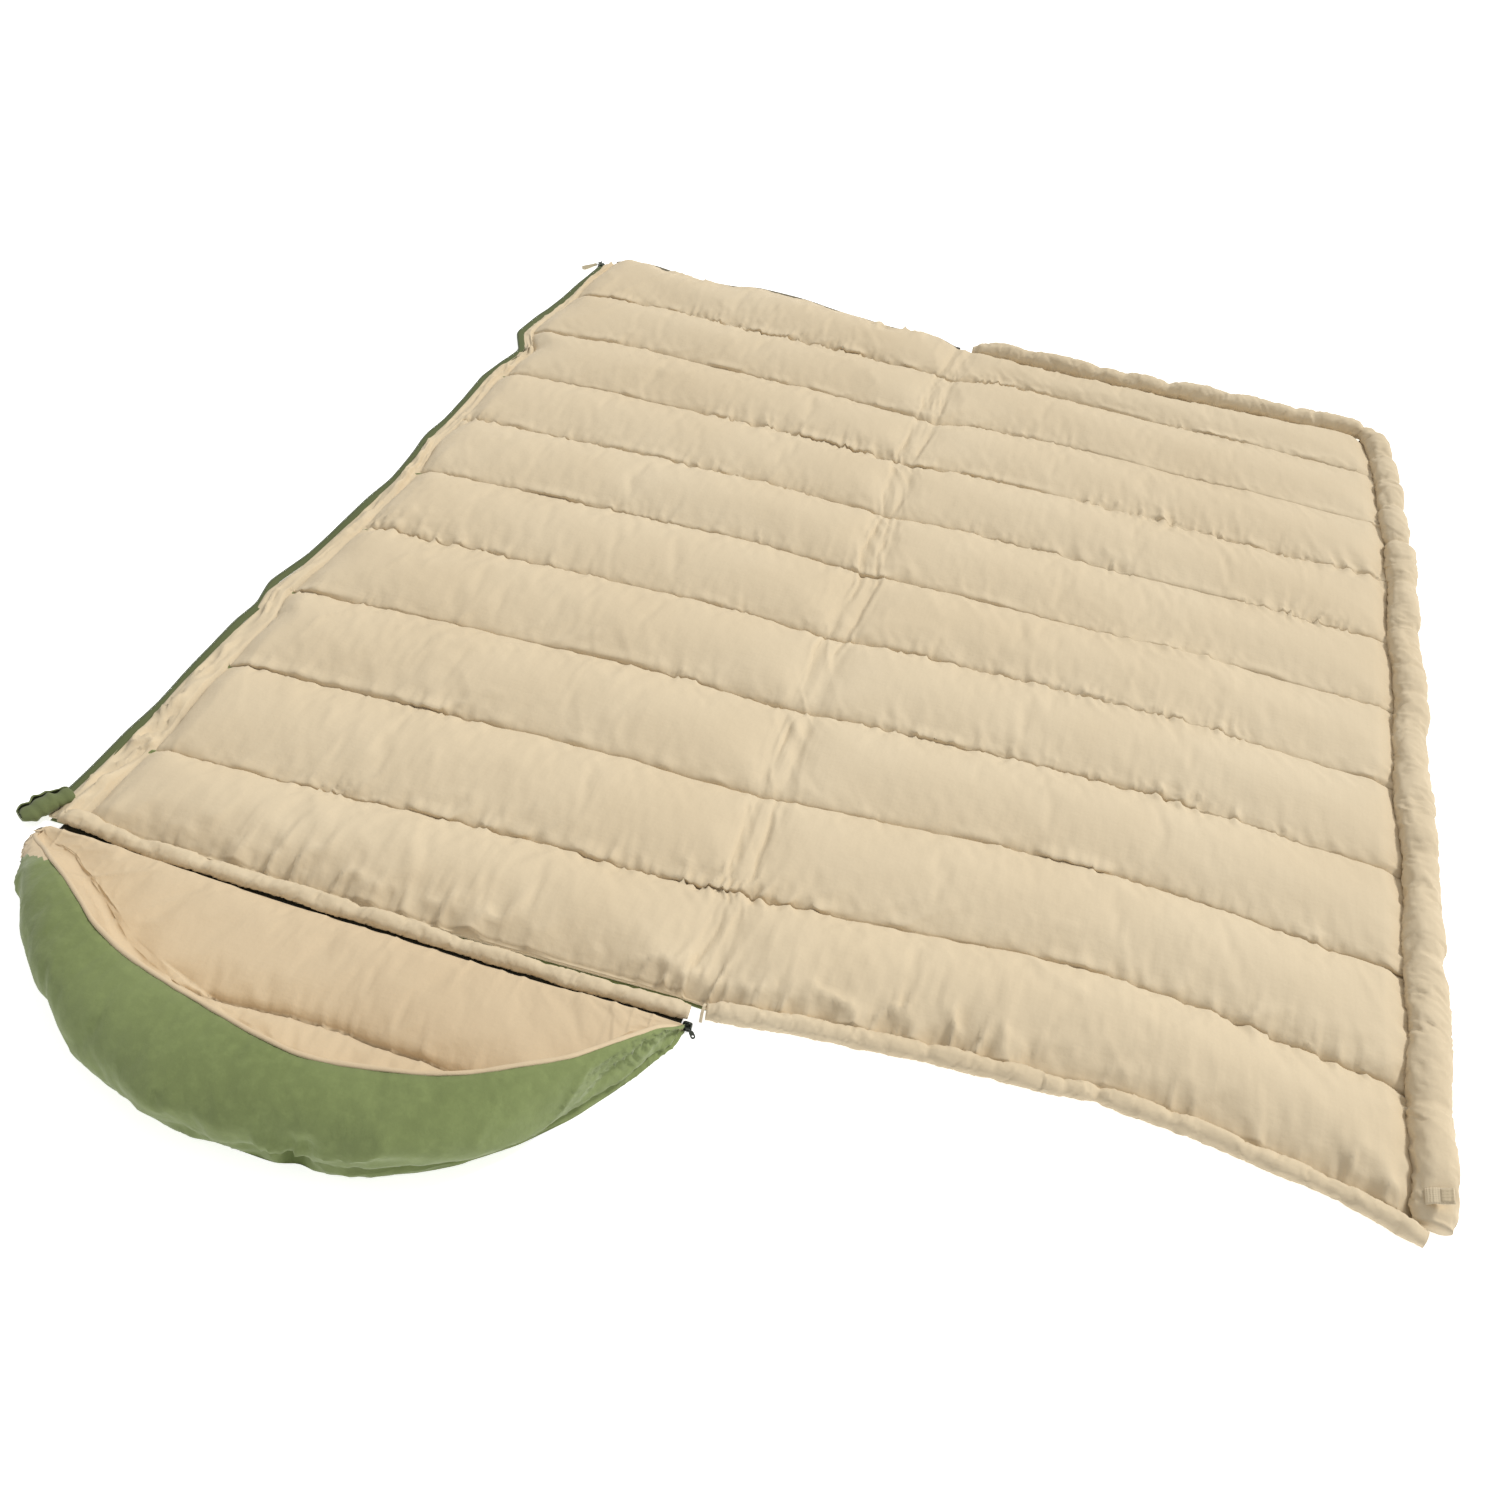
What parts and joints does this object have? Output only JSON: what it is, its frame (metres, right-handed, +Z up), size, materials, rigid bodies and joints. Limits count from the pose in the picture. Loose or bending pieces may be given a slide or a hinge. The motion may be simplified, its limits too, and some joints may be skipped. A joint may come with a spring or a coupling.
{
  "type": "rectangular sleeping bag",
  "caption": "Rectangular hooded sleeping bag laid open as a quilt: two quilted halves, draft tubes, separating side zip, half-round hood and folding zip flap.",
  "frame": {"origin": "centre of the bounding box's underside, on the floor", "axes": "+Z up from the floor, +Y from the hood end to the foot end, +X from the zipped half to the half with the draft tubes"},
  "size_m": [1.8464, 2.3357, 0.0936],
  "materials": {
    "filling": "soft polyester hollow-fibre wadding",
    "lining_fabric": "brushed polycotton plain weave",
    "shell_fabric": "brushed microfibre",
    "zip_tape": "woven tape",
    "zip_coil": "moulded nylon coil",
    "pull_plastic": "soft moulded",
    "slider_enamel": "enamelled die casting",
    "bright_metal": "plated",
    "tab_webbing": "doubled tape",
    "hook_and_loop": "hook and loop"
  },
  "bodies": {
    "left_panel": {"closure_loop_patch": "hook_and_loop", "fold_lining_strip": "lining_fabric", "fold_outer_strip": "shell_fabric", "head_tube_cover": "lining_fabric", "head_tube_filling": "filling", "hood_zip_coil_panel_side": "zip_coil", "hood_zip_tape_panel_side": "zip_tape", "left_batting": "filling", "left_foot_zip_coil": "zip_coil", "left_foot_zip_tape": "zip_tape", "left_lining": "lining_fabric", "left_outer_shell": "shell_fabric", "left_side_zip_coil": "zip_coil", "left_side_zip_tape": "zip_tape", "left_zip_facing": "lining_fabric", "left_zip_top_stop": "zip_coil", "zip_garage_base": "shell_fabric", "zip_garage_flap": "shell_fabric", "zip_retainer_box": "zip_coil"},
    "right_panel": {"collar_end_loop": "lining_fabric", "collar_tube_cover": "lining_fabric", "collar_tube_filling": "filling", "foot_tube_cover": "lining_fabric", "foot_tube_filling": "filling", "right_batting": "filling", "right_foot_zip_coil": "zip_coil", "right_foot_zip_tape": "zip_tape", "right_lining": "lining_fabric", "right_outer_shell": "shell_fabric", "right_side_zip_coil": "zip_coil", "right_side_zip_tape": "zip_tape", "right_zip_top_stop": "zip_coil", "side_tube_cover": "lining_fabric", "side_tube_filling": "filling", "zip_insertion_pin": "zip_coil"},
    "hood": {"hood_base_shell": "shell_fabric", "hood_base_batting": "filling", "hood_base_lining": "lining_fabric", "hood_rim_outer_cover": "shell_fabric", "hood_rim_inner_cover": "lining_fabric", "hood_rim_filling": "filling", "hood_edge_binding": "lining_fabric", "hood_zip_tape_hood_side": "zip_tape", "hood_zip_coil_hood_side": "zip_coil"},
    "main_slider": {"main_slider_body": "slider_enamel", "main_slider_bridge": "bright_metal"},
    "main_pull": {"main_pull_link": "bright_metal", "main_pull_grip": "pull_plastic"},
    "hood_slider": {"hood_slider_body": "slider_enamel", "hood_slider_bridge": "bright_metal"},
    "hood_pull": {"hood_pull_eye": "bright_metal", "hood_pull_leaf": "bright_metal"},
    "closure_tab": {"closure_tab_webbing": "tab_webbing", "closure_tab_hook_patch": "hook_and_loop"}
  },
  "joints": [
    {"name": "panel_fold", "type": "hinge", "parent": "left_panel", "child": "right_panel", "pos_m": [0.00419, 1.10475, 0.0435], "axis": [0, -1, 0], "range_deg": [0, 180], "deforming": ["fold_outer_strip", "fold_lining_strip"]},
    {"name": "hood_fold", "type": "hinge", "parent": "left_panel", "child": "hood", "pos_m": [-0.42831, -0.84125, 0.003], "axis": [-1, 0, 0], "range_deg": [0, 65], "deforming": ["hood_zip_tape_hood_side", "hood_zip_coil_hood_side"]},
    {"name": "main_slider_travel", "type": "slide", "parent": "left_panel", "child": "main_slider", "axis": [0, -1, 0], "range_m": [0, 1.85]},
    {"name": "main_pull_flip", "type": "hinge", "parent": "main_slider", "child": "main_pull", "pos_m": [-0.88681, 1.13375, 0.0089], "axis": [-0.7071, 0.7071, 0], "range_deg": [0, 140]},
    {"name": "hood_slider_travel", "type": "slide", "parent": "left_panel", "child": "hood_slider", "axis": [-1, 0, 0], "range_m": [0, 0.826]},
    {"name": "hood_pull_flip", "type": "hinge", "parent": "hood_slider", "child": "hood_pull", "pos_m": [0.00819, -0.84125, 0.0081], "axis": [-0.7431, -0.6691, 0], "range_deg": [0, 115]},
    {"name": "tab_flip", "type": "hinge", "parent": "right_panel", "child": "closure_tab", "pos_m": [0.86219, -0.78325, 0.03], "axis": [0, -1, 0], "range_deg": [0, 140]}
  ]
}
